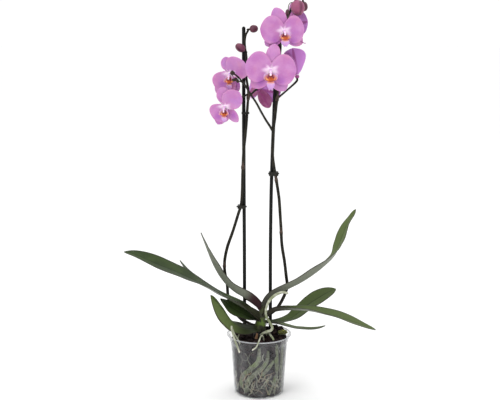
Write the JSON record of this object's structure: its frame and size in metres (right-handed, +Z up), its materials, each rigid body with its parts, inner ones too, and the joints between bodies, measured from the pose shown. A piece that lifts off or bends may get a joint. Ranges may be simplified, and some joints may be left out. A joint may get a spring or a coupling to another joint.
{
  "type": "potted orchid",
  "caption": "Live moth orchid with two staked flower spikes, strap leaves and climbing roots, growing in a clear nursery pot",
  "frame": {"origin": "centre of the pot's flat underside", "axes": "+Z up along the pot's axis, +X to the right and +Y away from a viewer who faces the open flowers"},
  "size_m": [0.4516, 0.1382, 0.7232],
  "materials": {
    "clear_plastic": "clear, slightly hazy plastic",
    "growing_medium": "dark damp bark chips",
    "stem_base": "yellow-green plant tissue, satin",
    "stake": "near-black coated rod, satin",
    "clip": "dark plastic, glossy",
    "root": "grey-green dry root skin, matte",
    "moss": "soft yellow-green moss",
    "leaf": "thick mid-green leaf, satin",
    "spike": "very dark green-brown stem, satin",
    "bud": "maroon bud, satin",
    "tepal": "soft mauve-pink petal, matte",
    "lip": "orange and pink lip, waxy"
  },
  "bodies": {
    "root": {"pot": "clear_plastic", "growing_medium": "growing_medium", "crown": "stem_base", "stake_left": "stake", "stake_right": "stake", "clip_left_lower": "clip", "clip_right": "clip", "tie_left_upper": "clip", "wall_root_1": "root", "wall_root_2": "root", "wall_root_3": "root", "wall_root_4": "root", "wall_root_5": "root", "aerial_root_1": "root", "aerial_root_2": "root", "aerial_root_3": "root", "aerial_root_4": "root", "loose_root": "root", "root_stub": "root", "moss_tuft": "moss", "leaf_left_1": "leaf", "leaf_left_2": "leaf", "leaf_left_3": "leaf", "leaf_left_4": "leaf", "leaf_left_5": "leaf", "leaf_right_1": "leaf", "leaf_right_2": "leaf", "leaf_right_3": "leaf", "leaf_right_4": "leaf", "spike_left": "spike", "spike_right": "spike", "bud_left_1": "bud", "bud_left_2": "bud", "bud_right_1": "bud", "bud_right_2": "bud", "bud_right_3": "bud", "bloom_1_tepals": "tepal", "bloom_1_lip": "lip", "bloom_2_tepals": "tepal", "bloom_2_lip": "lip", "bloom_3_tepals": "tepal", "bloom_3_lip": "lip", "bloom_4_tepals": "tepal", "bloom_4_lip": "lip", "bloom_5_tepals": "tepal", "bloom_5_lip": "lip", "bloom_6_tepals": "tepal", "bloom_6_lip": "lip", "bloom_7_tepals": "tepal", "bloom_7_lip": "lip"}
  },
  "joints": []
}
